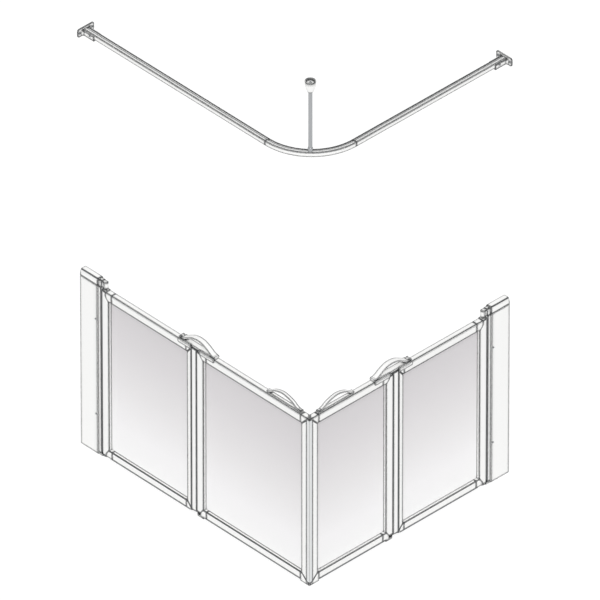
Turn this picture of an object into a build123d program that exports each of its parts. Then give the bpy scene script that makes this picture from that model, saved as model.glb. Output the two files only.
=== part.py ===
from build123d import *
from math import sqrt
import os

os.makedirs("parts", exist_ok=True)

# Corner shower screen: two bi-fold half height door sets and a curtain rail.
# Millimetres, +Z up. The origin is at floor level on the left wall, in the plane of the
# left doors' outer faces. The left leg runs along +X to the corner, the right leg along
# +Y from the corner, and the shower is on the side of +Y and -X.

# Openings for the panes, the width of each
left_wall_pane = 412
left_corner_pane = 513
right_wall_pane = 384
right_corner_pane = 341

# Door frames
frame_depth = 26
frame_top = 750
seal_height = 10
top_rail_height = 35
bottom_rail_height = 32
seal_inset = 2
seal_foot_width = 12
rail_rounding = 5
reveal = 15
pane_thickness = 4
pane_bite = 8
pane_clearance = 0.1
pane_end_gap = 1
free_stile_width = 28
corner_seal_reach = 14
seal_setback = 0.75
mitre_gap = 0.5

# Hinges: each round edge turns in the hollow edge of the piece on its wall side
axis_to_pane = 27
face_line = 10.5
fold_stile_reach = 31
link_pitch = 27
seat_gap = 0.8
horn_stop = 7
tongue_radius = 9.5
tongue_thickness = 5
layer_gap = 0.5
pin_radius = 3
pin_clearance = 0.06
pin_grip = 18
pin_end_gap = 1
tongue_root = 1

# Corner caps
cap_overlap = 5
hinge_cap_overlap = 15
cap_slope_rise = 18
cap_slope_drop = 24
cap_nose_height = 7
foot_clearance = 2

# Wall side
post_reach = 29
cover_width = 92
cover_depth = 30
cover_wall = 2
cover_top = 760
cover_web = 3
channel_wall = 2
channel_base = 3
channel_clearance = 0.3
channel_end_gap = 3
cap_height = 30
cap_side = 18
cap_end_rounding = 5
collar_radius = 4.5
block_inset = 1
nose_step = 2
nose_radius = 10
foot_thickness = 9.5
cover_screw_level = 178
cover_screw_pitch = 428
cover_screw_inset = 10
cover_screw_radius = 2
cover_screw_head = 3.5
wall_hole_level = 80
wall_hole_pitch = 305
wall_hole_radius = 2.5

# Lock handles over the middle hinges
lock_length = 190
lock_pivot_to_axis = 70
lock_pivot_height = 8
lock_barrel_radius = 6
lock_barrel_width = 14
lock_rise = 41
lock_strap = 7
lock_plate = 6
lock_gap = 0.6
lock_skirt_drop = 12
lock_skirt_thickness = 4
lock_skirt_gap = 0.6
lock_ear_thickness = 3
lock_ear_gap = 0.5
lock_pin_radius = 2.5
lock_bracket_plate = 1
lock_room = 2
lock_end_room = 1

# Both kinds of handle stand on these feet
handle_toe = 4.5
handle_foot = 18

# Grab handles near the corner
grab_length = 182
grab_corner_gap = 50
grab_rise = 38
grab_strap = 7
grab_plate = 5

# Curtain rail
rail_inset = 31
rail_depth = 24
rail_height = 21
rail_level = 1830
rail_bend_radius = 220
rail_groove_width = 8
rail_groove_depth = 4
rail_groove_edge = 3
rail_edge_rounding = 2
bracket_height = 36
bracket_plate = 4
bracket_length = 62
bracket_cheek = 4
bracket_clearance = 0.2
bracket_screw_spacing = 62
bracket_ear_end = 9.5
bracket_screw_radius = 2.5
bracket_blend = 10
bracket_corner = 9
bracket_low_edge = 4
cheek_screw_reach = 41
cheek_screw_radius = 2

# Ceiling support
ceiling_level = 2160
rod_radius = 7.5
stud_radius = 3
collar_height = 15
collar_radius_on_rail = 9.5
collar_chamfer = 1
cup_radius = 20.5
cup_height = 47
cup_rim = 10
cup_neck = 11
cup_bulge = 2
cup_wall = 4
cup_recess = 9
rod_seat = 14

# Screw heads, the last four as shares of the head's height or radius
ear_screw_head = 4.5
screw_head_height = 2.2
head_chamfer = 1 / 3
recess_length = 0.9
recess_width = 0.25
recess_depth = 0.5

# Half the height of the band in which edges are picked
pick = 0.01

mid = frame_depth / 2
pane_mid = reveal + pane_thickness / 2
knuckle = frame_depth / 2
seat = knuckle + seat_gap
frame_foot = seal_height
pane_low = frame_foot + bottom_rail_height
pane_high = frame_top - top_rail_height
cap_nose_low = frame_top - cap_nose_height
foot_nose_high = frame_foot + cap_nose_height
tongue_low = frame_top - tongue_thickness
foot_tongue_high = frame_foot + tongue_thickness
link_top = tongue_low - layer_gap
link_foot = foot_tongue_high + layer_gap
corner_knuckle_top = link_top - tongue_thickness - layer_gap
corner_knuckle_foot = link_foot + tongue_thickness + layer_gap
cover_screw_levels = (cover_screw_level, cover_screw_level + cover_screw_pitch)
wall_hole_levels = [wall_hole_level + wall_hole_pitch * i for i in range(3)]
bracket_flange = bracket_screw_spacing + 2 * bracket_ear_end


class Leg:
    """The stations of one leg, counted along X from the corner towards its wall."""

    def __init__(self, side, corner, wall_pane, corner_pane):
        self.side = side
        self.corner = corner
        self.free_end = corner - corner_seal_reach
        self.corner_pane_end = self.free_end - free_stile_width
        self.corner_pane_start = self.corner_pane_end - corner_pane
        self.link_axis = self.corner_pane_start - axis_to_pane
        self.fold_axis = self.link_axis - link_pitch
        self.wall_pane_end = self.fold_axis - fold_stile_reach
        self.wall_pane_start = self.wall_pane_end - wall_pane
        self.wall_axis = self.wall_pane_start - axis_to_pane
        self.cover_end = self.wall_axis - post_reach
        self.wall = self.cover_end - cover_width


fixed_reach = (
    cover_width + post_reach + axis_to_pane + fold_stile_reach + link_pitch + axis_to_pane
    + free_stile_width + corner_seal_reach
)
corner_x = fixed_reach + left_wall_pane + left_corner_pane
left = Leg("left", corner_x, left_wall_pane, left_corner_pane)
right = Leg("right", corner_x, right_wall_pane, right_corner_pane)
legs = (left, right)
right_wall_y = corner_x - right.wall

# The right leg is the left leg's kind of row, mirrored about the upright plane of the mitre
mitre = Plane(origin=(corner_x, 0, 0), z_dir=(1, 1, 0))


def keep(part, name):
    """Label a finished piece and write it out."""
    part.label = name
    export_step(part, f"parts/{name}.step")


def on_leg(part, leg):
    """Set a piece that was built along the left leg's line on its own leg."""
    return part if leg is left else mirror(part, about=mitre)


def keep_on_leg(part, leg, name):
    """Set a piece on its leg, label it and write it out."""
    keep(on_leg(part, leg), f"{leg.side}_{name}")


def block(x, y, z, mode=Mode.ADD):
    """Add or cut a block between two planes along each axis."""
    with BuildSketch(Plane.XY.offset(z[0])) as base:
        with Locations(((x[0] + x[1]) / 2, (y[0] + y[1]) / 2)):
            Rectangle(x[1] - x[0], y[1] - y[0])
    extrude(base.sketch, amount=z[1] - z[0], mode=mode)


def upright(centre, radius, z, mode=Mode.ADD):
    """Add or cut an upright cylinder between two levels."""
    with BuildSketch(Plane.XY.offset(z[0])) as disc:
        with Locations(centre):
            Circle(radius)
    extrude(disc.sketch, amount=z[1] - z[0], mode=mode)


def across(points, y, mode=Mode.ADD):
    """Add or cut a prism with its outline in side view, between two depths."""
    with BuildSketch(Plane.XZ.offset(-y[1])) as side_view:
        with BuildLine():
            Polyline(*points, close=True)
        make_face()
    extrude(side_view.sketch, amount=y[1] - y[0], mode=mode)


def tongue(start, axis, z):
    """Add the rounded plate that reaches from a frame to a pin."""
    block((start, axis), (mid - tongue_radius, mid + tongue_radius), z)
    upright((axis, mid), tongue_radius, z)


def pin_hole(axis, z):
    """Cut the running hole of a hinge pin."""
    upright((axis, mid), pin_radius + pin_clearance, z, mode=Mode.SUBTRACT)


def outer_seat(axis, z):
    """Cut a hollow edge that wraps the outer half of a knuckle and is open within."""
    upright((axis, mid), seat, z, mode=Mode.SUBTRACT)
    block((axis - seat, axis + seat), (mid, frame_depth), z, mode=Mode.SUBTRACT)


def pane_groove(x, z):
    """Cut the groove that a pane's edge stands in."""
    half = pane_thickness / 2 + pane_clearance
    block(x, (pane_mid - half, pane_mid + half), z, mode=Mode.SUBTRACT)


def round_long_edges(level, radius):
    """Round the edges along X at one level."""
    at_level = edges().filter_by(Axis.X).filter_by_position(Axis.Z, level - pick, level + pick)
    fillet(at_level, radius)


def hinge_cap_outlines(axis, pane_start):
    """The side views of the top and bottom caps of a hinge stile."""
    face = axis + face_line
    end = pane_start + hinge_cap_overlap
    top = (
        (pane_start, pane_high),
        (end, pane_high),
        (end, frame_top),
        (face, frame_top),
        (face, pane_high + cap_slope_rise),
    )
    foot = (
        (end, pane_low),
        (pane_start, pane_low),
        (face, pane_low - cap_slope_drop),
        (face, frame_foot),
        (end, frame_foot),
    )
    return top, foot


def plain_cap_outlines(pane_end, stile_end, cap_end):
    """The side views of the top and bottom caps of a plain stile."""
    start = pane_end - cap_overlap
    outlines = []
    for rail_edge, nose, end in (
        (pane_high, cap_nose_low, frame_top),
        (pane_low, foot_nose_high, frame_foot),
    ):
        slope = [(start, rail_edge), (pane_end, rail_edge), (stile_end, nose)]
        if cap_end > stile_end:
            slope.append((cap_end, nose))
        outlines.append(slope + [(cap_end, end), (start, end)])
    return outlines


def cut_mitre(leg):
    """Cut off what lies past the mitre between the two legs."""
    edge = leg.corner - mitre_gap
    with BuildSketch(Plane.XY) as beyond:
        with BuildLine():
            Polyline(
                (edge + frame_depth, -frame_depth),
                (edge + frame_depth, frame_depth * 2),
                (edge - frame_depth * 2, frame_depth * 2),
                close=True,
            )
        make_face()
    extrude(beyond.sketch, amount=cover_top, mode=Mode.SUBTRACT)


def make_hinge_stile(leg, leaf, axis, pane_start, z):
    """Stile with a half-round edge about the hinge axis."""
    with BuildPart() as hinge_stile:
        with BuildSketch(Plane.XY.offset(z[0])) as plan:
            with BuildLine():
                Polyline(
                    (axis, 0),
                    (pane_start, 0),
                    (pane_start, frame_depth),
                    (axis, frame_depth),
                )
                ThreePointArc((axis, frame_depth), (axis - knuckle, mid), (axis, 0))
            make_face()
        extrude(plan.sketch, amount=z[1] - z[0])
        if z[0] > frame_foot:
            # Beyond the knuckle the stile goes on down and up to its caps
            block((axis + face_line, pane_start), (0, frame_depth), (frame_foot, z[0]))
            block((axis + face_line, pane_start), (0, frame_depth), (z[1], frame_top))
        for outline in hinge_cap_outlines(axis, pane_start):
            across(outline, (0, frame_depth), mode=Mode.SUBTRACT)
        pane_groove((pane_start - pane_bite - pane_end_gap, pane_start), z)
        pin_hole(axis, (z[0], z[0] + pin_grip + pin_end_gap))
        pin_hole(axis, (z[1] - pin_grip - pin_end_gap, z[1]))
    keep_on_leg(hinge_stile.part, leg, f"{leaf}_hinge_stile")


def make_fold_stile(leg):
    """Stile of the wall leaf, hollow towards the link."""
    axis = leg.fold_axis
    z = (frame_foot, frame_top)
    with BuildPart() as fold_stile:
        block((leg.wall_pane_end, axis - horn_stop), (0, frame_depth), z)
        outer_seat(axis, z)
        for outline in plain_cap_outlines(leg.wall_pane_end, axis - horn_stop, axis):
            across(outline, (0, frame_depth), mode=Mode.SUBTRACT)
        pane_groove((leg.wall_pane_end, leg.wall_pane_end + pane_bite + pane_end_gap), z)
    keep_on_leg(fold_stile.part, leg, "wall_leaf_plain_stile")


def make_free_stile(leg):
    """Stile at the corner, cut to the mitre."""
    z = (frame_foot, frame_top)
    with BuildPart() as free_stile:
        block((leg.corner_pane_end, leg.free_end), (0, frame_depth), z)
        cut_mitre(leg)
        for outline in plain_cap_outlines(leg.corner_pane_end, leg.free_end, leg.corner):
            across(outline, (0, frame_depth), mode=Mode.SUBTRACT)
        pane_groove((leg.corner_pane_end, leg.corner_pane_end + pane_bite + pane_end_gap), z)
    keep_on_leg(free_stile.part, leg, "corner_leaf_plain_stile")


def make_rails_and_pane(leg, leaf, pane_start, pane_end):
    """Top rail, bottom rail, pane and bottom seal of a leaf."""
    rail = (pane_start + hinge_cap_overlap, pane_end - cap_overlap)
    bite = pane_bite + pane_end_gap
    with BuildPart() as top_rail:
        block(rail, (0, frame_depth), (pane_high, frame_top))
        round_long_edges(frame_top, rail_rounding)
        pane_groove(rail, (pane_high, pane_high + bite))
    keep_on_leg(top_rail.part, leg, f"{leaf}_top_rail")

    with BuildPart() as bottom_rail:
        block(rail, (0, frame_depth), (frame_foot, pane_low))
        pane_groove(rail, (pane_low - bite, pane_low))
    keep_on_leg(bottom_rail.part, leg, f"{leaf}_bottom_rail")

    # The grooves end where the caps begin, so the pane's corners are cut back
    through = (reveal, reveal + pane_thickness)
    with BuildPart() as pane:
        block(
            (pane_start - pane_bite, pane_end + pane_bite),
            through,
            (pane_low, pane_high),
        )
        block(rail, through, (pane_low - pane_bite, pane_high + pane_bite))
    keep_on_leg(pane.part, leg, f"{leaf}_pane")


def make_bottom_seal(leg, leaf, x):
    """Flexible strip between the frame and the floor."""
    with BuildPart() as bottom_seal:
        with BuildSketch(Plane.YZ.offset(x[0])) as section:
            with BuildLine():
                Polyline(
                    (seal_inset, frame_foot),
                    (frame_depth - seal_inset, frame_foot),
                    (mid + seal_foot_width / 2, 0),
                    (mid - seal_foot_width / 2, 0),
                    close=True,
                )
            make_face()
        extrude(section.sketch, amount=x[1] - x[0])
    keep_on_leg(bottom_seal.part, leg, f"{leaf}_bottom_seal")


def make_hinge_caps(axis, pane_start):
    """Add both caps of a hinge stile to the part that is being built."""
    for outline in hinge_cap_outlines(axis, pane_start):
        across(outline, (0, frame_depth))


def make_wall_leaf_caps(leg):
    """Corner caps of the wall leaf, whose fold side reaches over the link to the pin."""
    fold = leg.fold_axis
    with BuildPart() as caps:
        make_hinge_caps(leg.wall_axis, leg.wall_pane_start)
        for outline in plain_cap_outlines(leg.wall_pane_end, fold - horn_stop, fold - horn_stop):
            across(outline, (0, frame_depth))
        outer_seat(fold, (foot_tongue_high, tongue_low))
        tongue(fold - seat, fold, (tongue_low, frame_top))
        tongue(fold - seat, fold, (frame_foot, foot_tongue_high))
        round_long_edges_of_caps()
        pin_hole(fold, (frame_foot, foot_tongue_high))
        pin_hole(fold, (tongue_low, frame_top))
    keep_on_leg(caps.part, leg, "wall_leaf_corner_caps")


def make_corner_leaf_caps(leg):
    """Corner caps of the corner leaf, mitred at the free end and with a round foot."""
    axis = leg.link_axis
    foot_level = (foot_clearance, frame_foot)
    with BuildPart() as caps:
        make_hinge_caps(axis, leg.corner_pane_start)
        block((axis, leg.corner_pane_start), (0, frame_depth), foot_level)
        upright((axis, mid), knuckle, foot_level)
        for outline in plain_cap_outlines(leg.corner_pane_end, leg.free_end, leg.corner):
            across(outline, (0, frame_depth))
        block((leg.corner_pane_end - cap_overlap, leg.corner), (0, frame_depth), foot_level)
        round_long_edges_of_caps()
        cut_mitre(leg)
    keep_on_leg(caps.part, leg, "corner_leaf_corner_caps")


def round_long_edges_of_caps():
    """Round the long top edges of the caps to run on from the rails."""
    at_top = edges().filter_by(Axis.X).filter_by_position(Axis.Z, frame_top - pick, frame_top + pick)
    outer = at_top.filter_by_position(Axis.Y, -pick, pick)
    inner = at_top.filter_by_position(Axis.Y, frame_depth - pick, frame_depth + pick)
    fillet(outer + inner, rail_rounding)


def make_fold_link(leg):
    """Narrow profile between the leaves: round towards the wall leaf, hollow towards the other."""
    fold, axis = leg.fold_axis, leg.link_axis
    z = (link_foot, link_top)
    with BuildPart() as fold_link:
        block((fold, axis - horn_stop), (0, frame_depth), z)
        upright((fold, mid), knuckle, z)
        outer_seat(axis, z)
        for low in (link_foot, link_top - tongue_thickness):
            level = (low, low + tongue_thickness)
            tongue(axis - seat - tongue_root, axis, level)
            pin_hole(axis, level)
        pin_hole(fold, (link_foot, link_foot + pin_grip))
        pin_hole(fold, (link_top - pin_grip, link_top))
    keep_on_leg(fold_link.part, leg, "fold_link")

    with BuildPart() as link_pins:
        reach = pin_grip - tongue_thickness
        upright((fold, mid), pin_radius, (frame_foot, link_foot + reach))
        upright((fold, mid), pin_radius, (link_top - reach, frame_top))
        upright((axis, mid), pin_radius, (link_foot, corner_knuckle_foot + reach))
        upright((axis, mid), pin_radius, (corner_knuckle_top - reach, link_top))
    keep_on_leg(link_pins.part, leg, "link_pins")


def make_corner_seal(leg):
    """Strip on the free stile, with a mitred face that meets its twin."""
    with BuildPart() as corner_seal:
        block(
            (leg.free_end, leg.corner),
            (seal_setback, corner_seal_reach - mitre_gap),
            (foot_nose_high, cap_nose_low),
        )
        cut_mitre(leg)
    keep_on_leg(corner_seal.part, leg, "corner_seal")


def make_wall_side(leg):
    """Wall channel, the cover that slides over it, hinge post, cap and pivot blocks."""
    wall, end, axis = leg.wall, leg.cover_end, leg.wall_axis
    front = mid - cover_depth / 2
    back = mid + cover_depth / 2
    inside = (front + cover_wall + channel_clearance, back - cover_wall - channel_clearance)
    channel_end = end - cover_web - channel_end_gap
    screw_x = end - cover_screw_inset

    with BuildPart() as wall_channel:
        block((wall, channel_end), inside, (0, cover_top))
        block(
            (wall + channel_base, channel_end),
            (inside[0] + channel_wall, inside[1] - channel_wall),
            (0, cover_top),
            mode=Mode.SUBTRACT,
        )
        for level in wall_hole_levels:
            with BuildSketch(Plane.YZ.offset(wall)) as hole:
                with Locations((mid, level)):
                    Circle(wall_hole_radius)
            extrude(hole.sketch, amount=channel_base, mode=Mode.SUBTRACT)
        for level in cover_screw_levels:
            with BuildSketch(Plane.XZ.offset(-inside[0] - channel_wall)) as hole:
                with Locations((screw_x, level)):
                    Circle(cover_screw_radius)
            extrude(hole.sketch, amount=channel_wall, mode=Mode.SUBTRACT)
    keep_on_leg(wall_channel.part, leg, "wall_channel")

    with BuildPart() as wall_cover:
        block((wall, end), (front, back), (0, cover_top))
        block(
            (wall, end - cover_web),
            (front + cover_wall, back - cover_wall),
            (0, cover_top),
            mode=Mode.SUBTRACT,
        )
        for level in cover_screw_levels:
            with BuildSketch(Plane.XZ.offset(-front - cover_wall)) as hole:
                with Locations((screw_x, level)):
                    Circle(cover_screw_radius)
            extrude(hole.sketch, amount=cover_wall, mode=Mode.SUBTRACT)
    keep_on_leg(wall_cover.part, leg, "wall_cover")

    with BuildPart() as hinge_post:
        block((end, axis - horn_stop), (0, frame_depth), (foot_thickness, cover_top))
        upright((axis, mid), seat, (foot_thickness, cover_top), mode=Mode.SUBTRACT)
        block((axis - seat, axis), (0, mid), (foot_thickness, cover_top), mode=Mode.SUBTRACT)
    keep_on_leg(hinge_post.part, leg, "hinge_post")

    with BuildPart() as post_cap:
        with BuildSketch(Plane.YZ.offset(wall)) as section:
            with BuildLine():
                Polyline(
                    (front, cover_top + cap_side),
                    (front, cover_top),
                    (back, cover_top),
                    (back, cover_top + cap_side),
                )
                ThreePointArc(
                    (back, cover_top + cap_side),
                    (mid, cover_top + cap_height),
                    (front, cover_top + cap_side),
                )
            make_face()
        extrude(section.sketch, amount=end - wall)
        # The wall end is rounded off
        outer_end = edges().filter_by(GeomType.CIRCLE).group_by(Axis.X)[0]
        fillet(outer_end, cap_end_rounding)
    keep_on_leg(post_cap.part, leg, "post_cap")

    block_top = cover_top + cap_height - 2 * block_inset
    nose_level = (cover_top, block_top - nose_step)
    foot_level = (0, foot_thickness - layer_gap / 2)
    with BuildPart() as pivot_blocks:
        with BuildSketch(Plane.YZ.offset(end)) as section:
            with BuildLine():
                Polyline(
                    (block_inset, cover_top + cap_side),
                    (block_inset, cover_top),
                    (frame_depth - block_inset, cover_top),
                    (frame_depth - block_inset, cover_top + cap_side),
                )
                ThreePointArc(
                    (frame_depth - block_inset, cover_top + cap_side),
                    (mid, block_top),
                    (block_inset, cover_top + cap_side),
                )
            make_face()
        extrude(section.sketch, amount=axis - seat - end)
        block((end, axis), (mid - nose_radius, mid + nose_radius), nose_level)
        upright((axis, mid), nose_radius, nose_level)
        upright((axis, mid), collar_radius, (frame_top + layer_gap, cover_top))
        upright((axis, mid), pin_radius, (frame_top - pin_grip, cover_top))
        block((end, axis - horn_stop), (0, frame_depth), foot_level)
        tongue(axis - seat, axis, foot_level)
        upright((axis, mid), pin_radius, (0, frame_foot + pin_grip))
    keep_on_leg(pivot_blocks.part, leg, "pivot_blocks")


def add_arch(start, end, y, base, rise, strap, plate):
    """Add a handle: a low arch over a flat plate, open between."""
    middle = (start + end) / 2
    inner = (start + handle_foot, end - handle_foot)
    with BuildSketch(Plane.XZ.offset(-y[1])) as side_view:
        with BuildLine():
            Polyline(
                (start, base + handle_toe),
                (start, base),
                (end, base),
                (end, base + handle_toe),
            )
            ThreePointArc((end, base + handle_toe), (middle, base + rise), (start, base + handle_toe))
        make_face()
        with BuildLine():
            Line((inner[0], base + plate), (inner[1], base + plate))
            ThreePointArc(
                (inner[1], base + plate),
                (middle, base + rise - strap),
                (inner[0], base + plate),
            )
        make_face(mode=Mode.SUBTRACT)
    extrude(side_view.sketch, amount=y[1] - y[0])


def make_lock_handle(leg):
    """Lever that lies over the link and lifts about a pin on the wall leaf."""
    pivot = leg.fold_axis - lock_pivot_to_axis
    level = frame_top + lock_pivot_height
    base = frame_top + lock_gap
    start = pivot - lock_barrel_radius
    end = start + lock_length
    barrel = (mid - lock_barrel_width / 2, mid + lock_barrel_width / 2)
    ear_inner = lock_barrel_width / 2 + lock_ear_gap
    ear_outer = ear_inner + lock_ear_thickness
    front = -lock_skirt_gap - lock_skirt_thickness
    room_end = pivot + lock_barrel_radius + lock_room

    with BuildPart() as lock_handle:
        add_arch(pivot, end, (0, frame_depth), base, lock_rise, lock_strap, lock_plate)
        # Skirts hang over both leaves' outer faces, with a gap over the link
        for x in ((start, leg.fold_axis - horn_stop), (leg.link_axis + face_line, end)):
            block(x, (front, -lock_skirt_gap), (frame_top - lock_skirt_drop, base + lock_plate))
            block(x, (front, rail_rounding), (base, base + lock_plate))
        # Room for the bracket's ears, then the barrel between them
        block(
            (start, room_end),
            (-lock_skirt_gap, frame_depth),
            (base, base + lock_rise),
            mode=Mode.SUBTRACT,
        )
        block((pivot, room_end + lock_room), barrel, (base + lock_end_room, level + lock_barrel_radius))
        with BuildSketch(Plane.XZ.offset(-barrel[1])) as round_end:
            with Locations((pivot, level)):
                Circle(lock_barrel_radius)
        extrude(round_end.sketch, amount=lock_barrel_width)
        with BuildSketch(Plane.XZ.offset(-barrel[1])) as bore:
            with Locations((pivot, level)):
                Circle(lock_pin_radius + pin_clearance)
        extrude(bore.sketch, amount=lock_barrel_width, mode=Mode.SUBTRACT)
    keep_on_leg(lock_handle.part, leg, "lock_handle")

    with BuildPart() as lock_bracket:
        block(
            (pivot - lock_barrel_radius, pivot + lock_barrel_radius),
            (mid - ear_outer, mid + ear_outer),
            (frame_top, frame_top + lock_bracket_plate),
        )
        for edge in (mid - ear_outer, mid + ear_inner):
            with BuildSketch(Plane.XZ.offset(-edge - lock_ear_thickness)) as ear:
                with Locations((pivot, level)):
                    Circle(lock_barrel_radius)
                with Locations((pivot, (level + frame_top) / 2)):
                    Rectangle(lock_barrel_radius * 2, lock_pivot_height)
                with Locations((pivot, level)):
                    Circle(lock_pin_radius + pin_clearance, mode=Mode.SUBTRACT)
            extrude(ear.sketch, amount=lock_ear_thickness)
    keep_on_leg(lock_bracket.part, leg, "lock_bracket")

    with BuildPart() as lock_pin:
        with BuildSketch(Plane.XZ.offset(-mid - ear_outer)) as shank:
            with Locations((pivot, level)):
                Circle(lock_pin_radius)
        extrude(shank.sketch, amount=ear_outer * 2)
    keep_on_leg(lock_pin.part, leg, "lock_pin")


def make_grab_handle(leg):
    """Small fixed handle on the corner leaf's top rail."""
    end = leg.corner - grab_corner_gap
    with BuildPart() as grab_handle:
        y = (rail_rounding, frame_depth - rail_rounding)
        add_arch(end - grab_length, end, y, frame_top, grab_rise, grab_strap, grab_plate)
    keep_on_leg(grab_handle.part, leg, "grab_handle")


for leg in legs:
    knuckle_z = (frame_foot, frame_top)
    make_hinge_stile(leg, "wall_leaf", leg.wall_axis, leg.wall_pane_start, knuckle_z)
    corner_z = (corner_knuckle_foot, corner_knuckle_top)
    make_hinge_stile(leg, "corner_leaf", leg.link_axis, leg.corner_pane_start, corner_z)
    make_fold_stile(leg)
    make_free_stile(leg)
    make_rails_and_pane(leg, "wall_leaf", leg.wall_pane_start, leg.wall_pane_end)
    make_rails_and_pane(leg, "corner_leaf", leg.corner_pane_start, leg.corner_pane_end)
    make_bottom_seal(leg, "wall_leaf", (leg.wall_pane_start, leg.wall_pane_end + horn_stop))
    make_bottom_seal(leg, "corner_leaf", (leg.corner_pane_start, leg.corner_pane_end - cap_overlap))
    make_wall_leaf_caps(leg)
    make_corner_leaf_caps(leg)
    make_fold_link(leg)
    make_corner_seal(leg)
    make_wall_side(leg)
    make_lock_handle(leg)
    make_grab_handle(leg)


# Curtain rail: two straight arms and a quarter bend about the shower's corner
rail_mid_x = corner_x - rail_inset
bend_start_x = rail_mid_x - rail_bend_radius
bend_end_y = rail_inset + rail_bend_radius
rail_top = rail_level + rail_height
rail_middle = rail_level + rail_height / 2
bend_middle = (
    bend_start_x + rail_bend_radius * sqrt(0.5),
    bend_end_y - rail_bend_radius * sqrt(0.5),
)


def rail_section(plane, inwards):
    """Sketch the rail's section; inwards is the side of its groove, as +1 or -1 in local X."""
    with BuildSketch(plane) as section:
        Rectangle(rail_depth, rail_height)
        fillet(section.vertices(), rail_edge_rounding)
        groove_x = inwards * (rail_depth / 2 - rail_groove_edge - rail_groove_width / 2)
        with Locations((groove_x, rail_height / 2)):
            Rectangle(rail_groove_width, rail_groove_depth * 2, mode=Mode.SUBTRACT)
    return section.sketch


arm_plane = Plane(origin=(0, rail_inset, rail_middle), x_dir=(0, 1, 0), z_dir=(1, 0, 0))
with BuildPart() as left_rail_arm:
    extrude(rail_section(arm_plane.offset(bracket_plate), 1), amount=bend_start_x - bracket_plate)
keep(left_rail_arm.part, "left_rail_arm")

bend_end = (rail_mid_x, bend_end_y, rail_middle)
bend_end_plane = Plane(origin=bend_end, x_dir=(-1, 0, 0), z_dir=(0, 1, 0))
with BuildPart() as right_rail_arm:
    extrude(rail_section(bend_end_plane, 1), amount=right_wall_y - bend_end_y - bracket_plate)
keep(right_rail_arm.part, "right_rail_arm")

bend_axis = Axis((bend_start_x, bend_end_y, 0), (0, 0, 1))
with BuildPart() as rail_bend:
    revolve(rail_section(arm_plane.offset(bend_start_x), 1), axis=bend_axis, revolution_arc=90)
keep(rail_bend.part, "rail_bend")


def make_bracket(leg):
    """Rail bracket: a flange with two ears and a socket that the arm rests in."""
    wall = leg.wall
    socket = rail_depth / 2 + bracket_clearance
    cheek = socket + bracket_cheek
    base = rail_level - bracket_clearance
    with BuildPart() as bracket:
        with BuildSketch(Plane.YZ.offset(wall)) as flange:
            with Locations((rail_inset, rail_middle)):
                RectangleRounded(bracket_flange, bracket_height, bracket_corner)
            for side in (-1, 1):
                with Locations((rail_inset + side * bracket_screw_spacing / 2, rail_middle)):
                    Circle(bracket_screw_radius, mode=Mode.SUBTRACT)
        extrude(flange.sketch, amount=bracket_plate)
        block(
            (wall + bracket_plate, wall + bracket_length),
            (rail_inset - cheek, rail_inset + cheek),
            (base - bracket_cheek, rail_top - bracket_low_edge),
        )
        root = wall + bracket_plate
        roots = edges().filter_by(Axis.Z).filter_by_position(Axis.X, root - pick, root + pick)
        beside_arm = roots.filter_by_position(Axis.Y, rail_inset - cheek - pick, rail_inset + cheek + pick)
        fillet(beside_arm, bracket_blend)
        block(
            (root, wall + bracket_length),
            (rail_inset - socket, rail_inset + socket),
            (base, rail_top),
            mode=Mode.SUBTRACT,
        )
        with BuildSketch(Plane.XZ.offset(-rail_inset + socket)) as cheek_hole:
            with Locations((wall + cheek_screw_reach, rail_middle)):
                Circle(cheek_screw_radius)
        extrude(cheek_hole.sketch, amount=bracket_cheek, mode=Mode.SUBTRACT)
    return on_leg(bracket.part, leg)


brackets = [make_bracket(leg) for leg in legs]
with BuildPart() as rail_brackets:
    add(brackets)
keep(rail_brackets.part, "rail_brackets")


# Ceiling rod, on the middle of the bend
with BuildPart() as ceiling_rod:
    rod_end = ceiling_level - cup_height + rod_seat
    upright(bend_middle, rod_radius, (rail_top, rod_end))
    upright(bend_middle, stud_radius, (rod_end, ceiling_level))
    upright(bend_middle, collar_radius_on_rail, (rail_top, rail_top + collar_height))
    collar_top = rail_top + collar_height
    rims = edges().filter_by(GeomType.CIRCLE).filter_by_position(Axis.Z, collar_top - pick, collar_top + pick)
    chamfer(rims.sort_by(SortBy.RADIUS)[-1], collar_chamfer)
keep(ceiling_rod.part, "ceiling_rod")

cup_low = ceiling_level - cup_height
cup_plane = Plane(origin=(*bend_middle, 0), x_dir=(1, 0, 0), z_dir=(0, -1, 0))
with BuildPart() as ceiling_cup:
    with BuildSketch(cup_plane) as half_section:
        with BuildLine():
            Line((rod_radius + pin_clearance, cup_low), (cup_neck, cup_low))
            Spline(
                (cup_neck, cup_low),
                ((cup_neck + cup_radius) / 2 + cup_bulge, cup_low + (cup_height - cup_rim) / 2),
                (cup_radius, ceiling_level - cup_rim),
                tangents=((1, 2), (0, 1)),
            )
            Polyline(
                (cup_radius, ceiling_level - cup_rim),
                (cup_radius, ceiling_level),
                (cup_radius - cup_wall, ceiling_level),
                (cup_radius - cup_wall, ceiling_level - cup_recess),
                (stud_radius + pin_clearance, ceiling_level - cup_recess),
                (stud_radius + pin_clearance, cup_low + rod_seat + pin_clearance),
                (rod_radius + pin_clearance, cup_low + rod_seat + pin_clearance),
                (rod_radius + pin_clearance, cup_low),
            )
        make_face()
    revolve(half_section.sketch, axis=Axis((*bend_middle, 0), (0, 0, 1)))
keep(ceiling_cup.part, "ceiling_cup")


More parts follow.
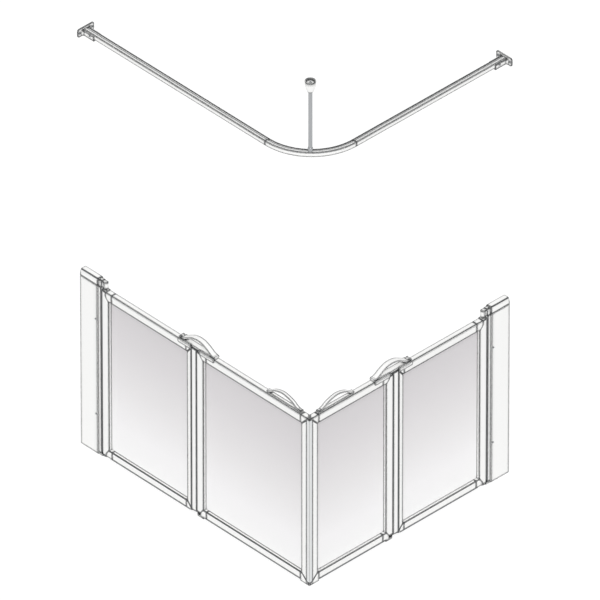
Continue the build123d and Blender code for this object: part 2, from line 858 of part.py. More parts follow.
def make_screw(plane, head_radius, head_height, shank_radius, shank_length):
    """Screw with a cross recess; the plane is its seat, and its head is on the plane's +Z."""
    with BuildPart() as screw:
        with BuildSketch(plane) as head:
            Circle(head_radius)
        extrude(head.sketch, amount=head_height)
        outer_face = faces().sort_by(Axis(plane.origin, plane.z_dir))[-1]
        chamfer(outer_face.edges(), head_height * head_chamfer)
        with BuildSketch(plane) as shank:
            Circle(shank_radius)
        extrude(shank.sketch, amount=-shank_length)
        with BuildSketch(plane.offset(head_height * (1 - recess_depth))) as recess:
            Rectangle(head_radius * recess_length, head_radius * recess_width)
            Rectangle(head_radius * recess_width, head_radius * recess_length)
        extrude(recess.sketch, amount=head_height, mode=Mode.SUBTRACT)
    return screw.part


cover_screw_parts = []
ear_screw_parts = []
for leg in legs:
    front = mid - cover_depth / 2
    for level in cover_screw_levels:
        at = Plane(origin=(leg.cover_end - cover_screw_inset, front, level), z_dir=(0, -1, 0))
        shank = cover_wall + channel_clearance + channel_wall
        screw = make_screw(at, cover_screw_head, screw_head_height, cover_screw_radius, shank)
        cover_screw_parts.append(on_leg(screw, leg))
    for offset_y in (-bracket_screw_spacing / 2, bracket_screw_spacing / 2):
        on_flange = (leg.wall + bracket_plate, rail_inset + offset_y, rail_middle)
        at = Plane(origin=on_flange, z_dir=(1, 0, 0))
        screw = make_screw(at, ear_screw_head, screw_head_height, bracket_screw_radius, bracket_plate)
        ear_screw_parts.append(on_leg(screw, leg))
    cheek_face = rail_inset - rail_depth / 2 - bracket_clearance - bracket_cheek
    at = Plane(origin=(leg.wall + cheek_screw_reach, cheek_face, rail_middle), z_dir=(0, -1, 0))
    screw = make_screw(at, cover_screw_head, screw_head_height, cheek_screw_radius, bracket_cheek)
    cover_screw_parts.append(on_leg(screw, leg))

with BuildPart() as cover_screws:
    add(cover_screw_parts)
keep(cover_screws.part, "cover_screws")

with BuildPart() as bracket_screws:
    add(ear_screw_parts)
keep(bracket_screws.part, "bracket_screws")
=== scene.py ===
import math
import bpy
from mathutils import Matrix, Vector


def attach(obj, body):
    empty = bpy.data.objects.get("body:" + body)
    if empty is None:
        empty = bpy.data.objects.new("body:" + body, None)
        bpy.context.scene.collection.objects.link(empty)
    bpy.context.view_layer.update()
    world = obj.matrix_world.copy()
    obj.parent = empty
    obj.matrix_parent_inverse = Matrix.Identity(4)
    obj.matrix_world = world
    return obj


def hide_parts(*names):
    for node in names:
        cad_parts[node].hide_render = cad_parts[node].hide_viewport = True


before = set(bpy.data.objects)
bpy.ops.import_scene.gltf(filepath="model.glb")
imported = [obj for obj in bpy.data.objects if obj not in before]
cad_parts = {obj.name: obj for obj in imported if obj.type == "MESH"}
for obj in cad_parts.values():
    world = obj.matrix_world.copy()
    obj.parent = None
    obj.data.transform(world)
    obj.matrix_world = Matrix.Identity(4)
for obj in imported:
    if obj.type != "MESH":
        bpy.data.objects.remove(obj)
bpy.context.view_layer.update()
SIDES = ("left", "right")

# Wall channels. A channel of mill finish aluminium is screwed to each wall, under the cover.
# It is extruded, so it keeps faint lines along its length and a dull sheen.


def linear(code, alpha=1.0):
    """A sRGB hex value as the linear colour that a shader takes."""
    parts = [int(code[i : i + 2], 16) / 255 for i in (0, 2, 4)]
    return (*[c / 12.92 if c <= 0.04045 else ((c + 0.055) / 1.055) ** 2.4 for c in parts], alpha)


def node(tree, kind, settings=None, links=None, stops=(), **sockets):
    """Adds one node with its settings, its sockets' values, its links and its ramp's stops."""
    made = tree.nodes.new(kind)
    for name, value in (settings or {}).items():
        setattr(made, name, value)
    for name, value in sockets.items():
        made.inputs[name.replace("_", " ")].default_value = value
    for name, source in (links or {}).items():
        tree.links.new(source, made.inputs[name])
    for i, (position, code) in enumerate(stops):
        bar = made.color_ramp.elements
        element = bar[i] if i < len(bar) else bar.new(position)
        element.position = position
        element.color = linear(code)
    return made


def finish_named(name):
    """An empty node material, and the tree to build it in."""
    material = bpy.data.materials.new(name)
    material.use_nodes = True
    material.node_tree.nodes.clear()
    return material, material.node_tree


def dress(material, *names):
    """Gives carried-over CAD nodes a finish."""
    for name in names:
        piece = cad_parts[name]
        piece.data.materials.clear()
        piece.data.materials.append(material)


# Extruded aluminium, as it leaves the die: grey metal with die lines 1.5 mm apart, which run
# upwards, and a soft sheen.
die_lines = 667  # in a metre
aluminium, tree = finish_named("extruded_aluminium")
place = node(tree, "ShaderNodeTexCoord")
along = node(
    tree,
    "ShaderNodeMapping",
    links={"Vector": place.outputs["Object"]},
    Scale=(die_lines, die_lines, 8),
)
lines = node(
    tree, "ShaderNodeTexNoise", links={"Vector": along.outputs[0]}, Scale=1.0, Detail=3.0
)
tone = node(
    tree,
    "ShaderNodeValToRGB",
    links={"Fac": lines.outputs["Fac"]},
    stops=((0.3, "B4B7BA"), (0.7, "CBCDCF")),
)
gloss = node(
    tree, "ShaderNodeMapRange", links={"Value": lines.outputs["Fac"]}, To_Min=0.32, To_Max=0.46
)
relief = node(
    tree, "ShaderNodeBump", links={"Height": lines.outputs["Fac"]}, Strength=0.3, Distance=0.0001
)
shader = node(
    tree,
    "ShaderNodeBsdfPrincipled",
    links={
        "Base Color": tone.outputs[0],
        "Roughness": gloss.outputs[0],
        "Normal": relief.outputs[0],
    },
    Metallic=1.0,
)
node(tree, "ShaderNodeOutputMaterial", links={"Surface": shader.outputs[0]})
dress(aluminium, "left_wall_channel", "right_wall_channel")

# Wall covers. A folded white sheet slides over each channel and is held by two small screws. It
# is powder coated aluminium: even white, with the coat's faint orange peel and rounded folds.

corner = 1.200  # the mitre's station, from the left wall
frame_depth = 0.026
mid = frame_depth / 2
wall_shift = 0.200  # the right leg is that much shorter, so its wall parts stand nearer
cover_end, cover_top = 0.092, 0.760
cover_front, cover_back = mid - 0.015, mid + 0.015
sheet_thickness, fold_radius = 0.002, 0.0025


def alone(piece):
    """Selects only this piece and makes it active."""
    bpy.ops.object.select_all(action="DESELECT")
    bpy.context.view_layer.objects.active = piece
    piece.select_set(True)


def block(name, low, high):
    """A block between two corners, left in object mode with its place in its mesh."""
    bpy.ops.object.select_all(action="DESELECT")
    bpy.ops.mesh.primitive_cube_add(size=1, location=[(a + b) / 2 for a, b in zip(low, high)])
    piece = bpy.context.object
    piece.name = name
    piece.scale = [b - a for a, b in zip(low, high)]
    bpy.ops.object.transform_apply(location=True, rotation=True, scale=True)
    return piece


def choose(piece, kind, test):
    """Goes to edit mode with only the edges or faces selected that pass the test.

    The test gets an edge's two ends, or a face's centre and normal."""
    alone(piece)
    bpy.ops.object.mode_set(mode="EDIT")
    bpy.ops.mesh.select_mode(type=kind)
    bpy.ops.mesh.select_all(action="DESELECT")
    bpy.ops.object.mode_set(mode="OBJECT")
    mesh = piece.data
    for part in mesh.edges if kind == "EDGE" else mesh.polygons:
        ends = [mesh.vertices[i].co for i in part.vertices]
        part.select = test(*ends) if kind == "EDGE" else test(part.center, part.normal)
    bpy.ops.object.mode_set(mode="EDIT")


def round_edges(piece, width, segments, test):
    """Rounds the edges whose two ends pass the test."""
    choose(piece, "EDGE", test)
    bpy.ops.mesh.bevel(offset=width, segments=segments)
    bpy.ops.object.mode_set(mode="OBJECT")


def finish_mesh(piece, width=0.0, segments=3):
    """Merges doubles, turns the faces outwards, rounds the sharp edges and smooths the rest."""
    alone(piece)
    bpy.ops.object.mode_set(mode="EDIT")
    bpy.ops.mesh.select_all(action="SELECT")
    bpy.ops.mesh.remove_doubles(threshold=0.00001)
    bpy.ops.mesh.normals_make_consistent(inside=False)
    bpy.ops.object.mode_set(mode="OBJECT")
    if width:
        edge = piece.modifiers.new("edge", "BEVEL")
        edge.width = width
        edge.segments = segments
        edge.limit_method = "ANGLE"
        edge.angle_limit = math.radians(40)
        bpy.ops.object.modifier_apply(modifier=edge.name)
    bpy.ops.object.shade_smooth_by_angle(angle=math.radians(35))


def on_right_leg(piece, name, shift=0.0):
    """A copy for the right leg: moved along the leg, then mirrored about the corner's mitre."""
    twin = piece.copy()
    twin.data = piece.data.copy()
    twin.name = name
    twin.data.name = name
    bpy.context.collection.objects.link(twin)
    alone(twin)
    mirrored = ((0, -1, 0, corner), (-1, 0, 0, corner - shift), (0, 0, 1, 0), (0, 0, 0, 1))
    twin.data.transform(Matrix(mirrored))
    bpy.ops.object.mode_set(mode="EDIT")
    bpy.ops.mesh.select_all(action="SELECT")
    bpy.ops.mesh.flip_normals()
    bpy.ops.object.mode_set(mode="OBJECT")
    return twin


def stand_for(piece, material, body, slot, *nodes):
    """Gives a new piece its finish, its body and the CAD nodes that it stands for."""
    piece.data.materials.clear()
    piece.data.materials.append(material)
    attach(piece, body)
    if nodes:
        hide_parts(*nodes)


MULTIPLY = {"data_type": "RGBA", "blend_type": "MULTIPLY"}
DARKER = {"data_type": "RGBA", "blend_type": "DARKEN"}
# How far the painted shade in the joints reaches, and how much the edges are softened.
joint_shade_reach = 0.012
edge_roundness = 0.0012


def coat_on(tree, white, joint_shade_colour, edge_shade_colour, grain, peel, dull, line=0.012, ridges=True):
    """Links for a white skin: its colour with painted shade, its gloss and its relief.

    Painted shade darkens the joints, where little open air reaches. A dark painted line of shade
    follows the edges: it is drawn where the surface, rounded off over the line's reach, turns away
    from its own face, and on ridges also where the rounded surface leans."""
    place = node(tree, "ShaderNodeTexCoord")
    skin = node(
        tree,
        "ShaderNodeTexNoise",
        links={"Vector": place.outputs["Object"]},
        Scale=1 / grain,
        Detail=2.0,
    )
    tint = node(
        tree,
        "ShaderNodeValToRGB",
        links={"Fac": skin.outputs["Fac"]},
        stops=((0.3, white[0]), (0.7, white[1])),
    )
    soft = node(tree, "ShaderNodeBevel", {"samples": 6}, Radius=edge_roundness)
    # Painted shade: darker where little open air reaches, in the joints between parts.
    open_air = node(tree, "ShaderNodeAmbientOcclusion", {"samples": 12}, Distance=joint_shade_reach)
    painted_joint_shade = node(
        tree,
        "ShaderNodeValToRGB",
        links={"Fac": open_air.outputs["AO"]},
        stops=((0.22, joint_shade_colour), (0.62, "FFFFFF")),
    )
    flat = node(tree, "ShaderNodeNewGeometry")
    # Painted shade along the edges, where the surface turns away, and where rounded ridges lean.
    turned = node(tree, "ShaderNodeBevel", {"samples": 8}, Radius=line)
    level = node(
        tree,
        "ShaderNodeVectorMath",
        {"operation": "DOT_PRODUCT"},
        links={0: flat.outputs["Normal"], 1: turned.outputs[0]},
    )
    sharp = node(
        tree,
        "ShaderNodeValToRGB",
        links={"Fac": level.outputs["Value"]},
        stops=((0.965, edge_shade_colour), (0.992, "FFFFFF")),
    )
    edge = sharp.outputs[0]
    if ridges:
        facing = node(tree, "ShaderNodeSeparateXYZ", links={"Vector": turned.outputs[0]})
        tilt = node(
            tree, "ShaderNodeMath", {"operation": "ABSOLUTE"}, links={0: facing.outputs["Z"]}
        )
        ridge = node(
            tree,
            "ShaderNodeValToRGB",
            links={"Fac": tilt.outputs[0]},
            stops=((0.50, "FFFFFF"), (0.62, edge_shade_colour), (0.93, edge_shade_colour), (0.975, "FFFFFF")),
        )
        both = node(
            tree, "ShaderNodeMix", DARKER, links={6: edge, 7: ridge.outputs[0]}, Factor=1.0
        )
        edge = both.outputs[2]
    painted_shades = node(
        tree, "ShaderNodeMix", MULTIPLY, links={6: painted_joint_shade.outputs[0], 7: edge}, Factor=1.0
    )
    tone = node(
        tree,
        "ShaderNodeMix",
        MULTIPLY,
        links={6: tint.outputs[0], 7: painted_shades.outputs[2]},
        Factor=1.0,
    )
    gloss = node(
        tree,
        "ShaderNodeMapRange",
        links={"Value": skin.outputs["Fac"]},
        To_Min=dull[0],
        To_Max=dull[1],
    )
    relief = node(
        tree,
        "ShaderNodeBump",
        links={"Height": skin.outputs["Fac"], "Normal": soft.outputs[0]},
        Strength=peel,
        Distance=0.0001,
    )
    return {
        "Base Color": tone.outputs[2],
        "Roughness": gloss.outputs[0],
        "Normal": relief.outputs[0],
    }


# Satin white powder coat, sprayed on and baked: even white with orange peel 2.5 mm across.
# Painted shade darkens its joints, and a dark painted line of shade runs along its edges; both
# are drawn over 12 mm, wide and dark, so that they show at this size. The dust in its joints
# and the wear along its edges are drawn over 12 mm, far wider and darker than real, so that
# they show at this size.
powder_coat, tree = finish_named("white_powder_coat")
skin = coat_on(tree, ("F6F6F5", "FAFAF9"), "85888B", "3A3C3E", 0.0025, 0.25, (0.36, 0.46))
shader = node(tree, "ShaderNodeBsdfPrincipled", links=skin)
node(tree, "ShaderNodeOutputMaterial", links={"Surface": shader.outputs[0]})

cover = block("left_cover_sheet", (0, cover_front, 0), (cover_end, cover_back, cover_top))
round_edges(
    cover,
    fold_radius,
    4,
    lambda a, b: abs(a.z - b.z) > cover_top / 2 and a.x > cover_end / 2,
)
choose(cover, "FACE", lambda centre, normal: abs(normal.z) > 0.9 or normal.x < -0.9)
bpy.ops.mesh.delete(type="FACE")
bpy.ops.object.mode_set(mode="OBJECT")
sheet = cover.modifiers.new("sheet", "SOLIDIFY")
sheet.thickness = sheet_thickness
sheet.offset = -1
bpy.ops.object.modifier_apply(modifier=sheet.name)
finish_mesh(cover)
twin = on_right_leg(cover, "right_cover_sheet", wall_shift)
stand_for(cover, powder_coat, "frame", "white_frame", "left_wall_cover")
stand_for(twin, powder_coat, "frame", "white_frame", "right_wall_cover")

# Hinge posts. An extruded post with a hollow edge stands between each cover and its door, and
# the door's round edge turns in it. It has the covers' powder coat.

dress(powder_coat, "left_hinge_post", "right_hinge_post")

# Post caps. A white moulded cap closes each cover. It has a flat ridge between two broad
# rounded shoulders, is rounded off at the wall and is pressed on, with no screw in sight.

cap_high = cover_top + 0.030
cap_low = cover_top + 0.0004  # a hair's breadth over the cover
shoulder_radius, wall_end_radius, post_end_radius = 0.0085, 0.005, 0.0012

# Semi-gloss white ABS, injection moulded: smoother and brighter than the coat, with a spark
# texture, drawn 1.5 mm across so that it shows, and the coat's painted shade in the joints and
# along the edges.
moulded_white, tree = finish_named("white_moulded_abs")
skin = coat_on(tree, ("F8F8F7", "FBFBFA"), "5A5D60", "3A3C3E", 0.0015, 0.15, (0.26, 0.34))
shader = node(tree, "ShaderNodeBsdfPrincipled", links=skin)
node(tree, "ShaderNodeOutputMaterial", links={"Surface": shader.outputs[0]})

cap = block("left_post_cap_dome", (0, cover_front, cap_low), (cover_end, cover_back, cap_high))
round_edges(
    cap,
    shoulder_radius,
    8,
    lambda a, b: min(a.z, b.z) > cap_high - 0.001 and abs(a.x - b.x) > cover_end / 2,
)
round_edges(
    cap,
    wall_end_radius,
    5,
    lambda a, b: max(a.x, b.x) < 0.0001 and min(a.z, b.z) > cover_top + 0.001,
)
round_edges(
    cap,
    post_end_radius,
    2,
    lambda a, b: min(a.x, b.x) > cover_end - 0.0001 and min(a.z, b.z) > cover_top + 0.001,
)
finish_mesh(cap)
twin = on_right_leg(cap, "right_post_cap_dome", wall_shift)
stand_for(cap, moulded_white, "frame", "white_moulding", "left_post_cap")
stand_for(twin, moulded_white, "frame", "white_moulding", "right_post_cap")

# Pivot blocks. A white moulded block on each post reaches over the door with a round nose, and
# holds its pin through a small collar. A flat block at the foot holds the lower pin.

wall_axis = 0.121
seat = 0.0138  # radius of the hollow edges, which a round edge turns in
frame_top = 0.750
pivot_high = cap_high - 0.002
nose_high = pivot_high - 0.002
bridge_high = pivot_high - 0.0035
foot_high = 0.00925
toe_radius = 0.0095
nose_radius, collar_radius, pin_radius = 0.010, 0.0045, 0.003
arch_inset, arch_bend = 0.001, 0.009
bridge_inset, bridge_bend, nose_bend = 0.0035, 0.002, 0.0028
dimple_radius, dimple_depth = 0.0016, 0.004
moulded_edge = 0.0006  # every small moulding's edges are rounded by this much


def drum(name, centre, radius, low, high, vertices=64):
    """An upright round solid between two levels."""
    bpy.ops.object.select_all(action="DESELECT")
    bpy.ops.mesh.primitive_cylinder_add(
        vertices=vertices, radius=radius, depth=high - low, location=(*centre, (low + high) / 2)
    )
    piece = bpy.context.object
    piece.name = name
    bpy.ops.object.transform_apply(location=True, rotation=True, scale=True)
    return piece


def take_away(piece, tool):
    """Cuts a tool's shape out of a piece and removes the tool."""
    alone(piece)
    cut = piece.modifiers.new("cut", "BOOLEAN")
    cut.operation = "DIFFERENCE"
    cut.object = tool
    bpy.ops.object.modifier_apply(modifier=cut.name)
    bpy.data.objects.remove(tool)


def join(name, *parts):
    """Joins parts into the first one and names it."""
    alone(parts[0])
    for part in parts[1:]:
        part.select_set(True)
    bpy.ops.object.join()
    piece = bpy.context.object
    piece.name = name
    piece.data.name = name
    return piece


arch = block(
    "arch",
    (cover_end + 0.0004, arch_inset, cap_low),
    (wall_axis - seat, frame_depth - arch_inset, pivot_high),
)
round_edges(
    arch,
    arch_bend,
    8,
    lambda a, b: min(a.z, b.z) > pivot_high - 0.001 and abs(a.x - b.x) > 0.005,
)
for across in (0.0075, 0.0185):
    spot = (cover_end + 0.008, across)
    low, high = pivot_high - dimple_depth, pivot_high + 0.01
    take_away(arch, drum("tool", spot, dimple_radius, low, high, 24))
nose = drum("nose", (wall_axis, mid), nose_radius, cap_low, nose_high)
round_edges(nose, nose_bend, 5, lambda a, b: min(a.z, b.z) > nose_high - 0.0001)
bridge = block(
    "bridge",
    (cover_end + 0.006, bridge_inset, cap_low),
    (wall_axis, frame_depth - bridge_inset, bridge_high),
)
round_edges(bridge, bridge_bend, 4, lambda a, b: min(a.z, b.z) > bridge_high - 0.0001)
collar = drum("collar", (wall_axis, mid), collar_radius, frame_top + 0.0005, cover_top + 0.002)
foot = block("foot", (cover_end, 0, 0), (wall_axis - 0.007, frame_depth, foot_high))
tongue = block(
    "tongue", (wall_axis - seat, mid - toe_radius, 0), (wall_axis, mid + toe_radius, foot_high)
)
toe = drum("toe", (wall_axis, mid), toe_radius, 0, foot_high)
pin = drum("pin", (wall_axis, mid), pin_radius, 0.0, 0.028, 24)
parts = (arch, nose, bridge, collar, foot, tongue, toe, pin)
for part in parts:
    finish_mesh(part, moulded_edge, 2)
pivots = join("left_pivot_mouldings", *parts)
twin = on_right_leg(pivots, "right_pivot_mouldings", wall_shift)
stand_for(pivots, moulded_white, "frame", "white_moulding", "left_pivot_blocks")
stand_for(twin, moulded_white, "frame", "white_moulding", "right_pivot_blocks")

# Door frames. Each leaf has two stiles and two rails, extruded in aluminium, cut square, pushed
# on to the pane's edges and held by the corner caps. They have the covers' powder coat.

LEAVES = [f"{side}_{leaf}" for side in SIDES for leaf in ("wall_leaf", "corner_leaf")]
for leaf in LEAVES:
    for part in ("hinge_stile", "plain_stile", "top_rail", "bottom_rail"):
        dress(powder_coat, f"{leaf}_{part}")

# Panes. Each is a sheet of frosted acrylic, 4 mm thick, that stands in grooves of its frame. Its
# colour carries painted shade, as if lit through from the tray: grey at the top, almost white at
# the foot.

pane_low, pane_high = 0.042, 0.715

# Frosted acrylic: a translucent sheet with a fine matt tooth, drawn 3 mm across so that it
# shows, and a level, slightly warm grey of painted shade that fades downwards.
frosted, tree = finish_named("frosted_acrylic")
place = node(tree, "ShaderNodeTexCoord")
height = node(tree, "ShaderNodeSeparateXYZ", links={"Vector": place.outputs["Object"]})
tooth = node(
    tree,
    "ShaderNodeTexNoise",
    links={"Vector": place.outputs["Object"]},
    Scale=1 / 0.003,
    Detail=2.0,
)
# Painted shade: the colour darkens with height, from almost white at the foot to grey at the top.
level = node(
    tree,
    "ShaderNodeMapRange",
    links={"Value": height.outputs["Z"]},
    From_Min=pane_low,
    From_Max=pane_high,
)
tooth_and_painted_shade = node(
    tree,
    "ShaderNodeMath",
    {"operation": "MULTIPLY_ADD"},
    links={0: tooth.outputs["Fac"], 2: level.outputs[0]},
)
tooth_and_painted_shade.inputs[1].default_value = 0.03
fade = node(
    tree,
    "ShaderNodeValToRGB",
    links={"Fac": tooth_and_painted_shade.outputs[0]},
    stops=((0.0, "FFFFFF"), (0.2, "FDFCFD"), (0.5, "EFEDEE"), (0.8, "E2DFE1"), (1.0, "DAD7D9")),
)
gloss = node(
    tree, "ShaderNodeMapRange", links={"Value": tooth.outputs["Fac"]}, To_Min=0.42, To_Max=0.58
)
relief = node(
    tree, "ShaderNodeBump", links={"Height": tooth.outputs["Fac"]}, Strength=0.1, Distance=0.0001
)
shader = node(
    tree,
    "ShaderNodeBsdfPrincipled",
    links={
        "Base Color": fade.outputs[0],
        "Roughness": gloss.outputs[0],
        "Normal": relief.outputs[0],
    },
    IOR=1.49,
    Alpha=0.9,
)
node(tree, "ShaderNodeOutputMaterial", links={"Surface": shader.outputs[0]})
dress(frosted, *[f"{leaf}_pane" for leaf in LEAVES])

# Corner caps. White moulded caps close the ends of all rails and stiles, with a bulging edge
# towards the stile. Those at the fold reach over the link, and those at the corner are mitred.

foot_level = 0.010  # the caps' underside
heel_level = 0.002  # and that of the lower ones on the corner leaves
horn = 0.007  # from a fold's pin to the tips of the hollow edge round it
stile_face, pane_edge = 0.0105, 0.027  # from a hinge pin to its stile's flat and to the pane
fold_shift = 0.172
fold_axis = {"left": 0.591, "right": 0.591 + fold_shift}
link_axis = {"left": 0.618, "right": 0.618 + fold_shift}
wall_axes = {"left": wall_axis, "right": wall_axis + wall_shift}
plain_stile = 0.024
corner_pane_end = 1.158
free_end = 1.186
cap_front, cap_inside = -0.0004, frame_depth + 0.0002
top_round = 0.005  # how round the top rails' long edges are
toe_plate = 0.005


def cut_off(piece, point, normal):
    """Cuts a piece at a plane, takes away what lies on its normal's side and closes the cut."""
    alone(piece)
    bpy.ops.object.mode_set(mode="EDIT")
    bpy.ops.mesh.select_all(action="SELECT")
    bpy.ops.mesh.bisect(
        plane_co=point,
        plane_no=Vector(normal).normalized(),
        use_fill=True,
        clear_outer=True,
        threshold=1e-6,
    )
    bpy.ops.object.mode_set(mode="OBJECT")


def cap_block(start, end, low, high, line):
    """A cap between two stations and levels, trimmed on the left of a bulging line's run."""
    cap = block("cap", (start, cap_front, low), (end, cap_inside, high))
    for (x0, z0), (x1, z1) in zip(line, line[1:]):
        cut_off(cap, (x0, 0, z0), (z0 - z1, 0, x1 - x0))
    return cap


def hinge_caps(axis):
    """The top and bottom caps on the hinge side of a leaf."""
    face, pane = axis + stile_face, axis + pane_edge
    end = pane + 0.015
    top_line = [
        (pane + 0.001, pane_high),
        (pane - 0.006, 0.7165),
        (face + 0.004, 0.7235),
        (face, 0.733),
    ]
    foot_line = [
        (face, 0.018),
        (face + 0.004, 0.0305),
        (pane - 0.006, 0.0395),
        (pane + 0.001, pane_low),
    ]
    return [
        cap_block(face, end, pane_high, frame_top, top_line),
        cap_block(face, end, foot_level, pane_low, foot_line),
    ]


def plain_caps(pane_end, stile_end, cap_end, low):
    """The top and bottom caps on the other side, with a thin nose where they pass the stile."""
    start = pane_end - 0.005
    third = (stile_end - pane_end) / 3
    nose_top, nose_foot = 0.743, 0.017
    top_line = [
        (stile_end, nose_top),
        (stile_end - third, 0.7325),
        (pane_end + third, 0.7205),
        (pane_end, pane_high),
    ]
    foot_line = [
        (pane_end, pane_low),
        (pane_end + third, 0.0375),
        (stile_end - third, 0.0265),
        (stile_end, nose_foot),
    ]
    caps = [
        cap_block(start, stile_end, pane_high, frame_top, top_line),
        cap_block(start, stile_end, low, pane_low, foot_line),
    ]
    if cap_end > stile_end:
        for bottom, top in ((nose_top, frame_top), (low, nose_foot)):
            near_end, far_end = (stile_end - 0.002, cap_front, bottom), (cap_end, cap_inside, top)
            caps.append(block("nose", near_end, far_end))
    return caps


def hollow_out(cap, axis, low, high):
    """Cuts the hollow edge that the link turns in, round outside and open inside."""
    take_away(cap, drum("tool", (axis, mid), seat, low, high))
    opening = block("tool", (axis - seat, mid, low), (axis + seat, frame_depth + 0.01, high))
    take_away(cap, opening)


def join_caps(name, caps):
    """Rounds the long top edges as the rail's are, softens the rest and joins the caps."""
    for cap in caps:
        round_edges(
            cap,
            top_round,
            5,
            lambda a, b: min(a.z, b.z) > frame_top - 0.0001 and abs(a.y - b.y) < 0.0001,
        )
        finish_mesh(cap, moulded_edge, 2)
    return join(name, *caps)


for side in SIDES:
    fold, link, wall = fold_axis[side], link_axis[side], wall_axes[side]
    stile_end = fold - horn
    caps = hinge_caps(wall)
    caps += plain_caps(stile_end - plain_stile, stile_end, stile_end, foot_level)
    for cap in caps[2:]:
        hollow_out(cap, fold, foot_level + toe_plate, frame_top - toe_plate)
    for low in (foot_level, frame_top - toe_plate):
        high = low + toe_plate
        near_end = (fold - seat - 0.001, mid - toe_radius, low)
        caps.append(block("plate", near_end, (fold, mid + toe_radius, high)))
        caps.append(drum("toe", (fold, mid), toe_radius, low, high))
    wall_caps = join_caps("wall_caps", caps)

    caps = hinge_caps(link) + plain_caps(corner_pane_end, free_end, corner, heel_level)
    caps.append(block("heel", (link, 0, heel_level), (link + pane_edge, frame_depth, foot_level)))
    caps.append(drum("heel", (link, mid), mid, heel_level, foot_level))
    for cap in caps[2:6]:
        cut_off(cap, (corner - 0.0005, 0, 0), (1, 1, 0))
    corner_caps = join_caps("corner_caps", caps)
    for piece, leaf in ((wall_caps, "wall_leaf"), (corner_caps, "corner_leaf")):
        if side == "right":
            twin = on_right_leg(piece, "twin")
            bpy.data.objects.remove(piece)
            piece = twin
        piece.name = f"{side}_{leaf}_cap_mouldings"
        body = f"{side}_{leaf}"
        stand_for(piece, moulded_white, body, "white_moulding", f"{body}_corner_caps")

# Bottom seals. A ribbed strip of grey PVC is slid into each bottom rail and wipes the tray, and
# it is soft enough to bend over the tray's edge.

rib_pitch = 0.004

# Flexible PVC, extruded: matt grey, with ribs across its length.
grey_pvc, tree = finish_named("flexible_grey_pvc")
place = node(tree, "ShaderNodeTexCoord")
ribs = node(
    tree,
    "ShaderNodeTexWave",
    {"wave_type": "BANDS", "bands_direction": "DIAGONAL"},
    links={"Vector": place.outputs["Object"]},
    Scale=2 * math.pi / rib_pitch / 20,
    Distortion=0.0,
)
tone = node(
    tree,
    "ShaderNodeValToRGB",
    links={"Fac": ribs.outputs["Fac"]},
    stops=((0.2, "7F8285"), (0.8, "B0B2B4")),
)
relief = node(
    tree, "ShaderNodeBump", links={"Height": ribs.outputs["Fac"]}, Strength=0.4, Distance=0.0004
)
gloss = node(
    tree, "ShaderNodeMapRange", links={"Value": ribs.outputs["Fac"]}, To_Min=0.55, To_Max=0.7
)
shader = node(
    tree,
    "ShaderNodeBsdfPrincipled",
    links={
        "Base Color": tone.outputs[0],
        "Roughness": gloss.outputs[0],
        "Normal": relief.outputs[0],
    },
)
node(tree, "ShaderNodeOutputMaterial", links={"Surface": shader.outputs[0]})
dress(grey_pvc, *[f"{leaf}_bottom_seal" for leaf in LEAVES])

# Fold links. A narrow coated profile joins the two leaves of each set, round on one edge and
# hollow on the other, and turns on two pairs of steel pins.

dress(powder_coat, "left_fold_link", "right_fold_link")

# Stainless steel pins, drawn and cut: grey metal, brushed round, with rings 0.8 mm apart.
turned_rings = 1250  # in a metre
pin_steel, tree = finish_named("drawn_stainless_steel")
place = node(tree, "ShaderNodeTexCoord")
around = node(
    tree,
    "ShaderNodeMapping",
    links={"Vector": place.outputs["Object"]},
    Scale=(40, 40, turned_rings),
)
rings = node(
    tree, "ShaderNodeTexNoise", links={"Vector": around.outputs[0]}, Scale=1.0, Detail=2.0
)
tone = node(
    tree,
    "ShaderNodeValToRGB",
    links={"Fac": rings.outputs["Fac"]},
    stops=((0.3, "8F9295"), (0.7, "ABAEB0")),
)
gloss = node(
    tree, "ShaderNodeMapRange", links={"Value": rings.outputs["Fac"]}, To_Min=0.22, To_Max=0.36
)
shader = node(
    tree,
    "ShaderNodeBsdfPrincipled",
    links={"Base Color": tone.outputs[0], "Roughness": gloss.outputs[0]},
    Metallic=1.0,
)
node(tree, "ShaderNodeOutputMaterial", links={"Surface": shader.outputs[0]})
dress(pin_steel, "left_link_pins", "right_link_pins", "left_lock_pin", "right_lock_pin")

# Lock brackets. A small moulded fork is screwed to each wall leaf's top rail, and the lock
# handle's barrel turns between its ears on a steel pin.

dress(moulded_white, "left_lock_bracket", "right_lock_bracket")

# Lock handles. A white moulded lever lies over the middle hinge of each door set and lifts
# about a pin on the wall leaf. It is one broad strap, arched over a flat plate, with skirts
# that hang over both leaves' outer faces and a gap between them above the link.

lock_length, barrel_radius = 0.190, 0.006
pivot = fold_axis["left"] - 0.070
lock_start = pivot - barrel_radius
lock_end = lock_start + lock_length
pivot_level = frame_top + 0.008
room_end = pivot + barrel_radius + 0.002
base = frame_top + 0.0006
plate_top = base + 0.006
plate_corner, skirt_corner = 0.007, 0.0055
strap_thin = 0.0038
skirt_out, skirt_in, skirt_drop = -0.0046, -0.0006, 0.012
neck_half = 0.007
lip_radius, lip_half = 0.0045, 0.012
lock_edge = 0.0010
LEVER_ARCH = (
    (0.001, 0.0078),
    (0.012, 0.0105),
    (0.028, 0.0205),
    (0.050, 0.0325),
    (0.071, 0.0380),
    (0.086, 0.0390),
    (0.104, 0.0370),
    (0.122, 0.0300),
    (0.138, 0.0210),
    (0.152, 0.0115),
    (0.163, 0.0068),
)


